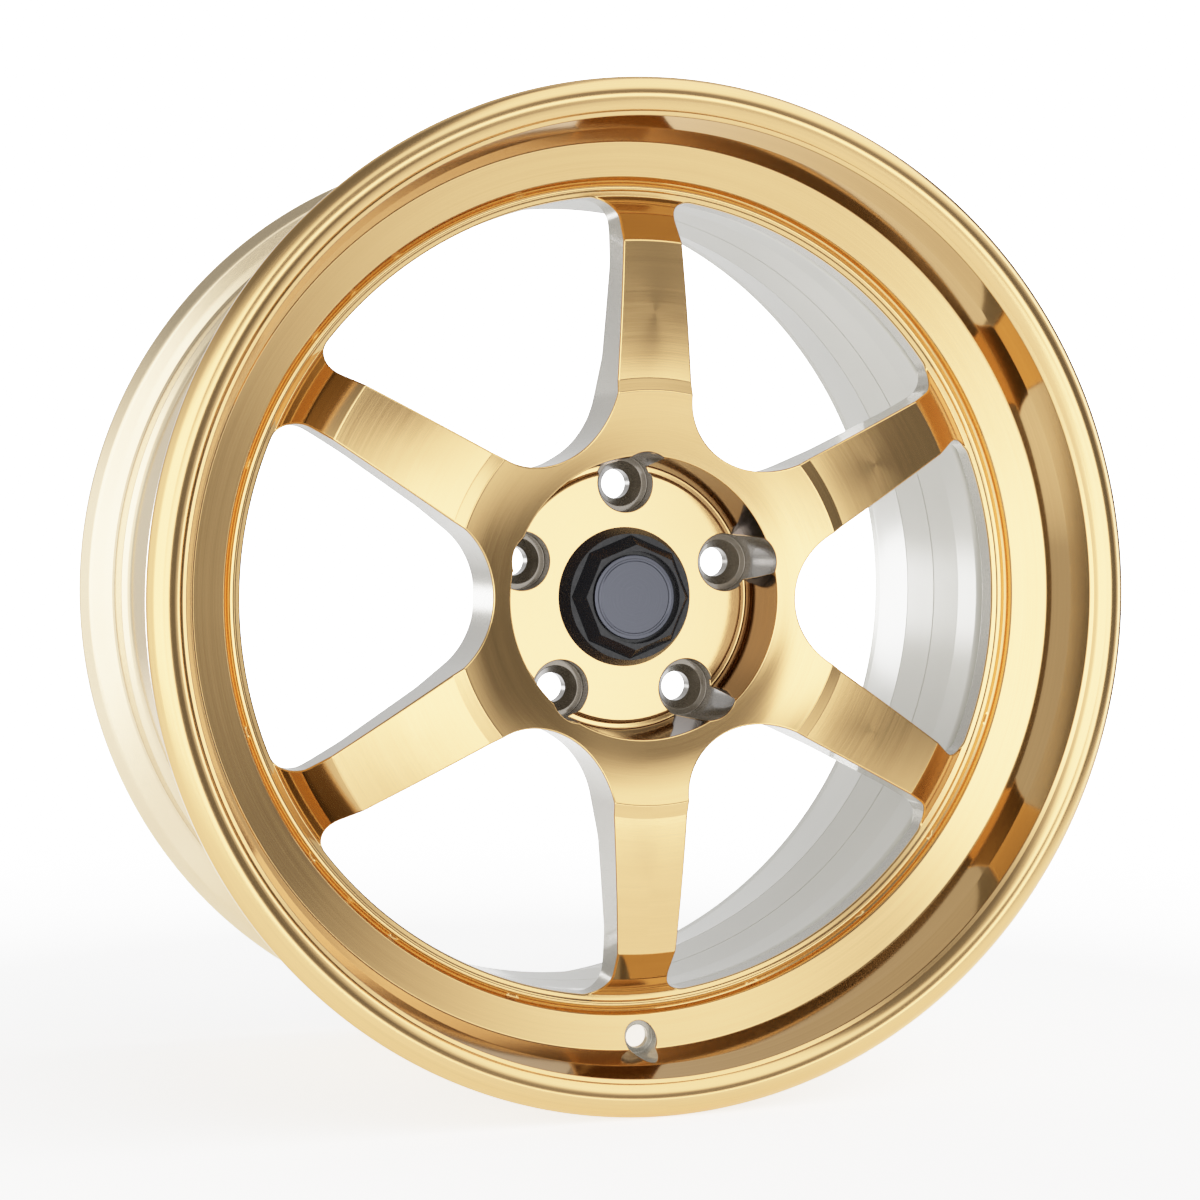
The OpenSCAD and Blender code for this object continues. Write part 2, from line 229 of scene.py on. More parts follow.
class Window:
    """A window between two spokes: round root, straight flanks, rounded outer corners."""

    R_OUT, CORNER = 198.0, 11.0             # radius of the outer arc and of its corners
    ROOT_C = 119.1                          # how far out the root's centre lies
    SPOKE_IN, HALF_IN = 107.2, 19.05        # half a spoke's width at its inner station
    SPOKE_OUT, HALF_OUT = 174.3, 15.2       # and at its outer station
    R_LOW, R_HIGH = 76, 200                 # no window reaches outside these radii
    EDGE_LOW = 78                           # its edge points are looked for outside this radius
    PIECES = (30, 14, 12, 34)               # points on the root, flank, corner and outer arc

    def __init__(self, angle):
        self.angle = angle
        h = STEP / 2
        sh, ch = math.sin(h), math.cos(h)
        # right half of the window, its centre line on +y
        a = Vector((self.SPOKE_IN * sh - self.HALF_IN * ch, self.SPOKE_IN * ch + self.HALF_IN * sh))
        b = Vector((self.SPOKE_OUT * sh - self.HALF_OUT * ch, self.SPOKE_OUT * ch + self.HALF_OUT * sh))
        d = (b - a).normalized()
        n = Vector((d.y, -d.x))                      # into the spoke
        root = Vector((0, self.ROOT_C))
        self.root, self.d, self.n = root, d, n
        self.root_r = (a - root).dot(n)
        self.t0 = root + self.root_r * n             # where the root meets the flank
        p = a - self.CORNER * n
        pb = p.dot(d)
        pc = p.dot(p) - (self.R_OUT - self.CORNER) ** 2
        self.corner = p + (-pb + math.sqrt(pb * pb - pc)) * d
        self.t1 = self.corner + self.CORNER * n
        self.flank = (self.t1 - self.t0).length
        self.root_half = math.acos(max(-1, min(1, -n.y)))
        self.out_dir = self.corner.normalized()
        self.corner_angle = math.acos(max(-1, min(1, n.dot(self.out_dir))))
        self.out_half = math.atan2(self.corner.x, self.corner.y)
        self.parts = [self.root_r * self.root_half, self.flank, self.CORNER * self.corner_angle,
                      self.R_OUT * self.out_half]
        self.half_len = sum(self.parts)

    def _at(self, s, off):
        """Point and inward-to-material normal at length s from the root's bottom, right half."""
        p = self.parts
        if s <= p[0]:
            a = s / self.root_r
            nx, ny = math.sin(a), -math.cos(a)
            rad = self.root_r + off
            return (self.root.x + rad * nx, self.root.y + rad * ny), (nx, ny)
        s -= p[0]
        if s <= p[1]:
            q = self.t0 + self.d * s + self.n * off
            return (q.x, q.y), (self.n.x, self.n.y)
        s -= p[1]
        if s <= p[2]:
            a = s / self.CORNER
            a0 = math.atan2(self.n.y, self.n.x)
            nx, ny = math.cos(a0 + a), math.sin(a0 + a)
            rad = self.CORNER + off
            return (self.corner.x + rad * nx, self.corner.y + rad * ny), (nx, ny)
        s -= p[2]
        a = self.out_half - s / self.R_OUT
        nx, ny = math.sin(a), math.cos(a)
        return ((self.R_OUT + off) * nx, (self.R_OUT + off) * ny), (nx, ny)

    def _turn(self, x, y):
        c, s = math.cos(self.angle), math.sin(self.angle)
        return x * c + y * s, -x * s + y * c

    def base(self, s, off):
        s = (s % 1.0) * 2 * self.half_len
        if s <= self.half_len:
            (x, y), _ = self._at(s, off)
        else:
            (x, y), _ = self._at(2 * self.half_len - s, off)
            x = -x
        return self._turn(x, y)

    def stations(self):
        """Lengths at which the outline is sampled, from the root's bottom to the middle of the outer arc."""
        out, start = [], 0.0
        for length, n in zip(self.parts, self.PIECES):
            out += [start + length * k / n for k in range(n)]
            start += length
        return out + [start]

    def outline(self, off):
        st = self.stations()
        all_s = st + [2 * self.half_len - s for s in reversed(st[1:-1])]
        return [self.base(s / (2 * self.half_len), off) for s in all_s]

    def project(self, x, y):
        c, s = math.cos(self.angle), math.sin(self.angle)
        lx, ly = x * c - y * s, x * s + y * c
        side = 1 if lx >= 0 else -1
        q = Vector((abs(lx), ly))
        best = None
        rel = q - self.root
        a = math.atan2(rel.x, -rel.y)
        if a <= self.root_half + 1e-6:
            best = (abs(rel.length - self.root_r), self.root_r * a)
        t = (q - self.t0).dot(self.d)
        if -1e-3 <= t <= self.flank + 1e-3:
            dist = abs((q - self.t0).dot(self.n))
            if best is None or dist < best[0]:
                best = (dist, self.parts[0] + min(max(t, 0), self.flank))
        rel = q - self.corner
        a = math.atan2(rel.y, rel.x) - math.atan2(self.n.y, self.n.x)
        if -1e-6 <= a <= self.corner_angle + 1e-6:
            dist = abs(rel.length - self.CORNER)
            if best is None or dist < best[0]:
                best = (dist, self.parts[0] + self.flank + self.CORNER * a)
        a = math.atan2(q.x, q.y)
        if a <= self.out_half + 1e-6:
            dist = abs(q.length - self.R_OUT)
            if best is None or dist < best[0]:
                best = (dist, self.half_len - self.R_OUT * a)
        sl = best[1]
        _, (nx, ny) = self._at(sl, 0)
        s_full = sl if side > 0 else 2 * self.half_len - sl
        wx, wy = nx * side, ny
        return (s_full / (2 * self.half_len)) % 1.0, (wx * c + wy * s, -wx * s + wy * c)

    def distance(self, x, y):
        s, _ = self.project(x, y)
        bx, by = self.base(s, 0)
        return math.hypot(x - bx, y - by)

    def _faces(self, x, y):
        turn = (math.atan2(x, y) - self.angle + math.pi) % math.tau - math.pi
        return abs(turn) <= STEP / 2

    def near(self, x, y, r):
        return self.EDGE_LOW < r < self.R_HIGH and self._faces(x, y)

    def holds(self, x, y, r, off):
        if not self._faces(x, y) or not self.R_LOW < r < self.R_HIGH:
            return False
        s, into = self.project(x, y)
        bx, by = self.base(s, off)
        return (x - bx) * into[0] + (y - by) * into[1] < 0


def surface(nodes_, tag, cutouts, offsets):
    """A turned surface whose path runs steadily in r, with holes: returns the edge loop of each hole.

    Each loop is a list of (s, x, y, z, surface normal, into-material normal), in order of s."""
    sp = spans(nodes_)
    if sp[0][1][0] > sp[0][0][0]:
        table = sp
    else:
        table = [(b, a, tb, ta) for a, b, ta, tb in reversed(sp)]
    radii = [t[0][0] for t in table] + [table[-1][1][0]]

    def at(r, k):
        """Depth and tangent at radius r on piece k of the path."""
        a, b, ta, tb = table[k]
        u = max(0.0, min(1.0, (r - a[0]) / (b[0] - a[0])))
        t = (ta[0] + (tb[0] - ta[0]) * u, ta[1] + (tb[1] - ta[1]) * u)
        m = math.hypot(*t)
        return a[1] + (b[1] - a[1]) * u, (t[0] / m, t[1] / m)

    co, edges = [], []
    turns = [math.tau * k / RING_N for k in range(RING_N)]
    for r in sorted(set(radii)):
        base = len(co)
        co += [(r * math.sin(a), r * math.cos(a)) for a in turns]
        edges += [(base + k, base + (k + 1) % RING_N) for k in range(RING_N)]
    for c, off in zip(cutouts, offsets):
        line = c.outline(off)
        base = len(co)
        co += line
        edges += [(base + k, base + (k + 1) % len(line)) for k in range(len(line))]
    v, _, f, _, _, _ = delaunay_2d_cdt([Vector(p) for p in co], edges, [], 0, 1e-5, False)
    r_min, r_max = radii[0] * math.cos(math.pi / RING_N) - 1e-6, radii[-1] + 1e-3
    kept = []
    for tri in f:
        cx = sum(v[i].x for i in tri) / 3
        cy = sum(v[i].y for i in tri) / 3
        r = math.hypot(cx, cy)
        if r_min < r < r_max and not any(c.holds(cx, cy, r, off) for c, off in zip(cutouts, offsets)):
            kept.append((tri, r, math.atan2(cx, cy)))
    height, count = {}, {}
    for tri, r, ang in kept:
        k = max(0, min(len(table) - 1, bisect_right(radii, r) - 1))
        ids, ns = [], []
        for i in tri:
            x, y = v[i].x, v[i].y
            ri = math.hypot(x, y)
            z, t = at(ri, k)
            ids.append(put(x, y, z))
            ns.append(Vector((-t[1] * x / ri, -t[1] * y / ri, t[0])))
            height[i] = (x, y, z, ns[-1])
        for a in range(3):
            e = (tri[a], tri[(a + 1) % 3])
            count[tuple(sorted(e))] = count.get(tuple(sorted(e)), 0) + 1
        add_face(ids, ns, tag(r, 0, (math.sin(ang), math.cos(ang))) if callable(tag) else tag)
    rim = {i for e, c in count.items() if c == 1 for i in e}
    loops = [[] for _ in cutouts]
    for i in rim:
        x, y, z, n = height[i]
        r = math.hypot(x, y)
        best = None
        for j, (c, off) in enumerate(zip(cutouts, offsets)):
            if not c.near(x, y, r):
                continue
            gap = abs(c.distance(x, y) - off)
            if gap < RIM_GAP and (best is None or gap < best[0]):
                best = (gap, j)
        if best:
            c = cutouts[best[1]]
            s, into = c.project(x, y)
            loops[best[1]].append((s, x, y, z, n, into))
    for loop in loops:
        loop.sort(key=lambda p: p[0])
    return loops


def hole_edge(loop, tag, ease, down):
    """Rounds the edge of a hole toward it and returns the lower loop.

    down is -1 for an edge on the front and 1 for one on the back."""
    rows = []
    for k in range(EDGE_STEPS + 1):
        a = math.pi / 2 * k / EDGE_STEPS
        row = []
        for s, x, y, z, n, into in loop:
            px, py = x - into[0] * ease * math.sin(a), y - into[1] * ease * math.sin(a)
            pz = z + down * ease * (1 - math.cos(a))
            nn = (n * math.cos(a) + Vector((-into[0], -into[1], 0)) * math.sin(a)).normalized()
            row.append((s, px, py, pz, nn, into))
        rows.append(row)
    for r0, r1 in zip(rows, rows[1:]):
        for i in range(len(r0)):
            j = (i + 1) % len(r0)
            q = [r0[i], r0[j], r1[j], r1[i]]
            add_face([put(*p[1:4]) for p in q], [p[4] for p in q], pick(tag, r0[i], r0[j]))
    return rows[-1]


def pick(tag, p, q):
    """The tag half way between two loop points."""
    if not callable(tag):
        return tag
    x, y = (p[1] + q[1]) / 2, (p[2] + q[2]) / 2
    r = math.hypot(x, y)
    return tag(r, 0, (x / r, y / r))


def zipped(top, low, tag):
    """Joins two loops of one hole whose points don't match, walking both by s."""
    i = j = 0
    n, m = len(top), len(low)

    def s_of(loop, k):
        return loop[k % len(loop)][0] + k // len(loop)

    while i < n or j < m:
        a, b = top[i % n], low[j % m]
        if j >= m or (i < n and s_of(top, i + 1) <= s_of(low, j + 1)):
            c = top[(i + 1) % n]
            i += 1
        else:
            c = low[(j + 1) % m]
            j += 1
        tri = (a, b, c)
        normals = [Vector((-p[5][0], -p[5][1], 0)) for p in tri]
        add_face([put(*p[1:4]) for p in tri], normals, pick(tag, a, c))


def ring_loop(hole, z):
    """A level loop on a round hole's own outline."""
    out = []
    for x, y in hole.outline(0):
        s, into = hole.project(x, y)
        out.append((s, x, y, z, Vector((0, 0, 1)), into))
    out.sort(key=lambda p: p[0])
    return out


# ---------------------------------------------------------------- the forging, node by node
HUB_R, BAND_R = 101.0, 180.0            # the spokes' nodes lie between these radii
RECESS_R = (66.9, 69.5)                 # the wall round the bolt circle, coloured near-black as painted shade
WINDOW_R = Window.R_OUT


def face_tag(r, z, direction):
    """Node of a point on the wheel's face, by its radius and its direction from the axle."""
    if r < HUB_R:
        return "hub"
    if r > BAND_R:
        return "face_band"
    a = math.atan2(direction[0], direction[1]) % math.tau
    return "spoke_%d" % (int(round(a / STEP)) % SPOKES + 1)


def front_tag(r, z, direction):
    """Node and finish of the machined front."""
    name = face_tag(r, z, direction)
    # the wall round the bolt circle: near-black bronze as painted shade
    if RECESS_R[0] < r < RECESS_R[1]:
        return name, "recess"
    # the scoops and the band's wall up to the lip get a smoother bronze whose darker colour is painted shade
    scoop = CREASE[0] + 0.5 < r < WINDOW_R
    return name, "polished" if scoop or r > BAND_OUT[0] + 0.5 else "turned"


def between(a, b, n):
    """Points inside a straight piece, so that its faces stay short."""
    return [(a[0] + (b[0] - a[0]) * k / n, a[1] + (b[1] - a[1]) * k / n) for k in range(1, n)]


Z = Z_FRONT
PAD_Z = Z - 66.9                        # the pad with the bolt holes
POCKET_Z = PAD_Z - 8.5                  # floor of the nut pockets, where their cones begin
CONE_DEPTH = 6.93
CONE_R, POCKET_R = 11.5, 14.6
VALVE_Z = Z - 43.8                      # floor of the valve's counterbore
COUNTERBORE_R = 8.2
CAP_BORE = 31.0
BARREL_R = 209.5                        # outside of the barrel's narrow part
DISH_IN, DISH_OUT = (69.7, Z - 35.2), (HUB_R, Z - 24.4)
DISH = (48.18, Z + 77.9, 115.1)         # centre and radius of the hollow between them
TILT_IN = math.degrees(math.atan2(DISH_IN[1] - DISH[1], DISH_IN[0] - DISH[0]))
TILT_OUT = math.degrees(math.atan2(DISH_OUT[1] - DISH[1], DISH_OUT[0] - DISH[0]))
STEP_OUT, CREASE = (Window.SPOKE_IN, Z - 25.9), (Window.SPOKE_OUT, Z - 30.4)
BAND_IN, BAND_OUT = (206.6, Z - 43.3), (222.6, Z - 35.7)
WALL_JOIN = (226.35, Z - 19.065)        # where the face's path hands over to the lip's
# the spokes are slightly crowned along their length: an arc that turns by SPOKE_TURN between step and crease
SPOKE_TURN = 7.0
chord = math.hypot(CREASE[0] - STEP_OUT[0], CREASE[1] - STEP_OUT[1])
chord_up = 90 + math.degrees(math.atan2(CREASE[1] - STEP_OUT[1], CREASE[0] - STEP_OUT[0]))
spoke_r = chord / 2 / math.sin(math.radians(SPOKE_TURN / 2))
spoke_depth = spoke_r * math.cos(math.radians(SPOKE_TURN / 2))
spoke_c = ((STEP_OUT[0] + CREASE[0]) / 2 - spoke_depth * math.cos(math.radians(chord_up)),
           (STEP_OUT[1] + CREASE[1]) / 2 - spoke_depth * math.sin(math.radians(chord_up)))
spoke_top = arc(*spoke_c, spoke_r, chord_up + SPOKE_TURN / 2 - 0.1, chord_up - SPOKE_TURN / 2 + 0.1, 10)

front = path(
    (CAP_BORE + 0.5, PAD_Z), (46, PAD_Z), arc(62, PAD_Z - 2, 2, 90, 4, 6),
    (64.2, PAD_Z - 3.6, 0.3), (67, PAD_Z - 3.6, 0.9), (*DISH_IN, 0.7),
    arc(*DISH, TILT_IN + 0.6, TILT_OUT - 0.5, 12),
    (*DISH_OUT, 0.6), (*STEP_OUT, 0.3), spoke_top, (*CREASE, 0.6),
    (BAND_R, Z - 34.414), (188.5, Z - 40.4, 0.5), (WINDOW_R, Z - 49.9, 0.5),
    arc(202.2, Z - 49.1, 2, 165, 10, 9), (205.6, Z - 47.4, 0.4), (*BAND_IN, 0.6),
    *between(BAND_IN, BAND_OUT, 3), (*BAND_OUT, 0.7), (224.4, Z - 27.7), WALL_JOIN)
windows = [Window(STEP / 2 + i * STEP) for i in range(SPOKES)]
bolt_spots = [(R_BOLTS * math.sin(math.tau * i / N_BOLTS), R_BOLTS * math.cos(math.tau * i / N_BOLTS))
              for i in range(N_BOLTS)]
POCKET_N, BOLT_N, VALVE_N = 96, 64, 72  # sides of the round holes
pockets = [Round(x, y, POCKET_R, POCKET_N) for x, y in bolt_spots]
counterbore = Round(0, -VALVE_C, COUNTERBORE_R, VALVE_N)
# how far each kind of hole's edge is rounded, in front and behind
WINDOW_EASE, POCKET_EASE, VALVE_EASE = 0.9, 0.5, 0.4
WINDOW_BACK_EASE, BOLT_BACK_EASE, VALVE_BACK_EASE = 0.8, 0.4, 0.3
loops = surface(front, front_tag, windows + pockets + [counterbore],
                [WINDOW_EASE] * SPOKES + [POCKET_EASE] * N_BOLTS + [VALVE_EASE])
window_tops = [hole_edge(lp, face_tag, WINDOW_EASE, -1) for lp in loops[:SPOKES]]
pocket_tops = [hole_edge(lp, "hub", POCKET_EASE, -1) for lp in loops[SPOKES:-1]]
valve_top = hole_edge(loops[-1], "face_band", VALVE_EASE, -1)

# back of the hub, spokes and band, and every wall milled through them
finish[0] = "paint"
back = path((201.8, Z - 64.5), (199.3, Z - 60.4, 0.7), (190, Z - 58.6), (BAND_R, Z - 54), (165, Z - 50, 4),
            (142, Z - 51.4), (120, Z - 53, 3), (HUB_R, Z - 62), (79, Z - 68, 2), (70, Z_BACK, 0.8),
            (R_BORE + 0.5, Z_BACK))
bolt_backs = [Round(x, y, R_BOLT, BOLT_N) for x, y in bolt_spots]
loops = surface(back, face_tag, windows + bolt_backs,
                [WINDOW_BACK_EASE] * SPOKES + [BOLT_BACK_EASE] * N_BOLTS)
for top, lp in zip(window_tops, loops[:SPOKES]):
    zipped(top, hole_edge(lp, face_tag, WINDOW_BACK_EASE, 1), face_tag)
# the nut pockets and bolt holes take a much darker copy of the paint: painted shade in the holes
finish[0] = "pocket"
for (x, y), hole, top, lp in zip(bolt_spots, pockets, pocket_tops, loops[SPOKES:]):
    low = hole_edge(lp, "hub", BOLT_BACK_EASE, 1)
    bolt = Round(x, y, R_BOLT, POCKET_N)
    zipped(ring_loop(bolt, Z_BACK + 3), low, "hub")
    turned(path((R_BOLT, Z_BACK + 3), (R_BOLT, POCKET_Z - CONE_DEPTH), (CONE_R, POCKET_Z, 0.2),
                (POCKET_R, POCKET_Z, 0.5), (POCKET_R, POCKET_Z + 1)), "hub", POCKET_N, x, y)
    zipped(top, ring_loop(hole, POCKET_Z + 1), "hub")

# bores in the hub
finish[0] = "paint"
turned(path((R_BORE + 0.5, Z_BACK), (R_BORE, Z_BACK + 0.5), (R_BORE, Z_BACK + BORE_DEPTH),
            (CAP_BORE, Z_BACK + BORE_DEPTH), (CAP_BORE, PAD_Z - 0.5), (CAP_BORE + 0.5, PAD_Z)), "hub")

# valve hole
turned(path((R_VALVE, VALVE_Z - 2), (R_VALVE, VALVE_Z, 0.25), (COUNTERBORE_R, VALVE_Z, 0.3),
            (COUNTERBORE_R, VALVE_Z + 0.6)), "face_band", VALVE_N, 0, -VALVE_C)
zipped(valve_top, ring_loop(counterbore, VALVE_Z + 0.6), "face_band")
valve = Round(0, -VALVE_C, R_VALVE, VALVE_N)
SEAT_END, BAND_BACK = (226.5, Z - 47), (BARREL_R, Z - 53)
wall_back = path(SEAT_END, (213, Z - 49, 1.2), BAND_BACK)
valve_back = surface(wall_back, "face_band", [valve], [VALVE_BACK_EASE])[0]
low = hole_edge(valve_back, "face_band", VALVE_BACK_EASE, 1)
zipped(ring_loop(valve, VALVE_Z - 2), low, "face_band")


# lip, flanges, bead seats and barrel
def rim_tag(r, z, direction):
    """Node and finish of the lip, the flanges and both sides of the barrel."""
    name = next(n for limit, n in RIM_LIMITS if z > limit)
    if z > LIP_Z:
        return name, "turned"
    # the lip's inner wall gets the same smoother bronze, its darker colour painted shade
    if z > WALL_Z and r < FLANGE_IN_R:
        return name, "polished"
    behind = name in ("rear_barrel", "inner_bead_seat", "inner_flange")
    inside = r < 207 or (behind and r < 222.2 and z > -Z + 12)
    return name, "barrel" if inside and r < 206.6 + max(0.0, -38 - z) * 0.5 else "outside"


LIP_Z, WALL_Z = Z - 5.4, Z - 20         # the lip's rounded front and the wall behind it
FLANGE_IN_R = 231                       # foot of the flange, at the bead seat
# each node lies in front of its limit and behind the one before; the last limit is behind the whole wheel
RIM_LIMITS = [(Z - 15, "outer_flange"), (Z - 35.7, "outer_bead_seat"), (Z - 65, "face_band"),
              (-37.4, "drop_centre"), (-Z + 36, "rear_barrel"), (-Z + 15, "inner_bead_seat"),
              (-Z - 1, "inner_flange")]
CROWN = (240.25, Z - 9.8, 9.8)          # centre and radius of the lip's round edge
SIDE = math.degrees(math.acos((R_FLANGE - CROWN[0]) / CROWN[2]))
HUMP_R = 230.4                          # the safety hump inside each bead seat
turned(path(WALL_JOIN, (226.5, Z - 18.4, 0.5), (227.509, Z - 15), (230.3, Z - 5.6, 0.35),
            arc(*CROWN, 146, SIDE + 3, 28), (R_FLANGE, Z - 4.5, 0.5), (R_FLANGE, Z - 7.4, 0.8),
            (243.5, Z - 11.8, 1.5), (236, Z - 13, 1), (232, Z - 13.8, 0.4), (FLANGE_IN_R, Z - 15),
            (229.3, Z - 33.9, 0.4), (HUMP_R, Z - 34.9, 0.3), (HUMP_R, Z - 35.7), (HUMP_R, Z - 37.7, 0.6),
            (228.5, Z - 45, 0.6), SEAT_END), rim_tag)
turned(path(BAND_BACK, (BARREL_R, Z - 65), (BARREL_R, 0, 2), (211.5, -37.4), (226, -Z + 39, 2),
            (HUMP_R, -Z + 36.8, 0.4), (HUMP_R, -Z + 36), (229.3, -Z + 34.8, 0.4), (FLANGE_IN_R, -Z + 15),
            (232, -Z + 13.8, 0.4), (236, -Z + 13, 1), (243.5, -Z + 11.8, 1.5), (R_FLANGE, -Z + 7.4, 0.8),
            (R_FLANGE, -Z + 4.5, 0.5), arc(CROWN[0], -CROWN[1], CROWN[2], -SIDE - 3, -150, 28),
            (222, -Z + 12.6, 1), (221.733, -Z + 15), (221, -Z + 21.6, 1), (217.73, -Z + 36), (206.2, -38.0),
            (206.55, -37.7), (206.5, -37.4), (206.0, -37.0), (204.1, -1.9), (204.5, -1.4), (204.0, -0.9),
            (202.6, 30), (200, 56, 2), (201.8, 60.5)), rim_tag)

# emblem: a slightly domed disc with a rounded edge and a plain raised ring
emblem_lo, emblem_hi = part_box("cap_emblem")
E_FRONT, E_BACK, E_R = -emblem_lo.y / MM, -emblem_hi.y / MM, emblem_hi.x / MM
EMBLEM_N = 128
turned(path((0, E_FRONT - 0.05), (E_R - 3.4, E_FRONT - 0.15), (E_R - 3.0, E_FRONT - 0.45, 0.15),
            (E_R - 2.2, E_FRONT - 0.45, 0.15), (E_R - 1.8, E_FRONT - 0.15), (E_R, E_FRONT - 0.2, 0.6),
            (E_R, E_BACK), (0, E_BACK)), ("cap_emblem", "emblem"), EMBLEM_N)


# ---------------------------------------------------------------- materials
class Shader:
    """A principled material with helpers that add and link nodes."""

    def __init__(self, name, color, metallic, rough, **more):
        self.mat = bpy.data.materials.new(name)
        self.mat.use_nodes = True
        self.tree = self.mat.node_tree
        self.bsdf = self.tree.nodes["Principled BSDF"]
        self.put("Base Color", (*color, 1))
        self.put("Metallic", metallic)
        self.put("Roughness", rough)
        for k, v in more.items():
            self.put(k.replace("_", " "), v)

    def put(self, socket, value):
        self.bsdf.inputs[socket].default_value = value

    def node(self, kind, inputs=(), **props):
        n = self.tree.nodes.new("ShaderNode" + kind)
        for k, v in props.items():
            setattr(n, k, v)
        for k, v in dict(inputs).items():
            if hasattr(v, "is_output"):
                self.tree.links.new(v, n.inputs[k])
            else:
                n.inputs[k].default_value = v
        return n

    def math(self, op, a, b=0.0, c=0.0):
        return self.node("Math", {0: a, 1: b, 2: c}, operation=op).outputs[0]

    def link(self, out, socket):
        self.tree.links.new(out, self.bsdf.inputs[socket])

    def place(self):
        """Coordinates fixed to the object, in metres."""
        return self.node("TexCoord").outputs["Object"]

    def noise(self, scale, detail=2.0, vector=None, rough=0.5):
        n = self.node("TexNoise", {"Scale": scale, "Detail": detail, "Roughness": rough})
        self.tree.links.new(vector or self.place(), n.inputs["Vector"])
        return n.outputs["Fac"]

    def round_coords(self):
        """Radius, depth and angle about the axle, for turned patterns."""
        sep = self.node("SeparateXYZ", {0: self.place()})
        x, y, z = sep.outputs
        r = self.math("SQRT", self.math("ADD", self.math("MULTIPLY", x, x), self.math("MULTIPLY", z, z)))
        a = self.math("ARCTAN2", x, z)
        return r, y, a

    def stretched(self, *axes):
        """A vector of coordinates, each with its own scale."""
        scaled = {i: self.math("MULTIPLY", value, scale) for i, (value, scale) in enumerate(axes)}
        return self.node("CombineXYZ", scaled).outputs[0]

    def range(self, value, lo, hi, to_lo, to_hi):
        n = self.node("MapRange", {0: value, 1: lo, 2: hi, 3: to_lo, 4: to_hi})
        return n.outputs[0]

    def mix(self, fac, a, b):
        n = self.node("Mix", data_type="RGBA")
        self.tree.links.new(fac, n.inputs["Factor"])
        n.inputs[6].default_value = (*a, 1)
        n.inputs[7].default_value = (*b, 1)
        return n.outputs[2]

    def bump(self, height, strength, distance):
        n = self.node("Bump", {"Height": height, "Strength": strength, "Distance": distance})
        self.link(n.outputs[0], "Normal")


def turned_bronze(name, dark, light, rough, swing, aniso, lines):
    """Machined aluminium under a tinted coat: fine turning lines round the axle and a soft haze."""
    s = Shader(name, light, 1.0, rough, Anisotropic=aniso)
    r, y, a = s.round_coords()
    fine = s.noise(1.0, 3.0, s.stretched((r, 2600.0), (a, 1.3), (y, 1600.0)), 0.65)
    broad = s.noise(1.0, 2.0, s.stretched((r, 240.0), (a, 1.1), (y, 160.0)))
    haze = s.noise(14.0, 3.0)
    worn = s.math("ADD", s.math("MULTIPLY", fine, 0.55), s.math("MULTIPLY", broad, 0.25))
    worn = s.math("ADD", worn, s.math("MULTIPLY", haze, 0.2))
    s.link(s.mix(s.range(worn, 0.3, 0.7, 0.0, 1.0), dark, light), "Base Color")
    s.link(s.range(worn, 0.3, 0.7, rough - swing, rough + swing), "Roughness")
    s.bump(fine, 0.5, lines)
    tangent = s.node("Tangent", direction_type="RADIAL", axis="Y")
    s.link(tangent.outputs[0], "Tangent")
    return s.mat


def gloss_paint(name, dark, light, metallic, rough, peel):
    """Tinted gloss coat over unmachined metal, with orange peel and fine metal flake."""
    s = Shader(name, dark, metallic, rough, Coat_Weight=0.7, Coat_Roughness=0.06)
    cloud = s.noise(9.0, 4.0)
    flake = s.noise(2600.0, 1.0)
    tone = s.math("ADD", s.math("MULTIPLY", cloud, 0.7), s.math("MULTIPLY", flake, 0.3))
    s.link(s.mix(s.range(tone, 0.35, 0.65, 0.0, 1.0), dark, light), "Base Color")
    s.link(s.range(flake, 0.3, 0.7, rough - 0.04, rough + 0.05), "Roughness")
    s.bump(s.noise(190.0, 2.0), 0.5, peel)
    return s.mat


def moulded_black():
    """Moulded black plastic with a faint grain."""
    s = Shader("black_gloss", (0.006, 0.006, 0.007), 0.0, 0.3, Specular_IOR_Level=0.2)
    grain = s.noise(700.0, 3.0)
    s.link(s.range(grain, 0.3, 0.7, 0.2, 0.32), "Roughness")
    s.bump(s.noise(260.0, 2.0), 0.3, 0.00003)
    return s.mat


def satin_disc():
    """Anodised disc with fine rings."""
    s = Shader("emblem_satin", (0.08, 0.085, 0.115), 0.9, 0.34, Coat_Weight=0.3, Coat_Roughness=0.1)
    r, _, a = s.round_coords()
    grain = s.noise(1.0, 2.0, s.stretched((r, 3800.0), (a, 0.8)))
    shade = s.range(grain, 0.3, 0.7, 0.0, 1.0)
    s.link(s.mix(shade, (0.032, 0.035, 0.047), (0.043, 0.046, 0.062)), "Base Color")
    s.link(s.range(grain, 0.3, 0.7, 0.28, 0.4), "Roughness")
    return s.mat


def plain_wire():
    """Drawn steel wire."""
    s = Shader("spring_wire", (0.55, 0.55, 0.55), 1.0, 0.3)
    s.link(s.range(s.noise(900.0, 2.0), 0.3, 0.7, 0.22, 0.38), "Roughness")
    return s.mat


def foam():
    """Black foam pad."""
    s = Shader("adhesive", (0.03, 0.03, 0.03), 0.0, 0.85)
    s.bump(s.noise(1500.0, 2.0), 0.6, 0.0002)
    return s.mat


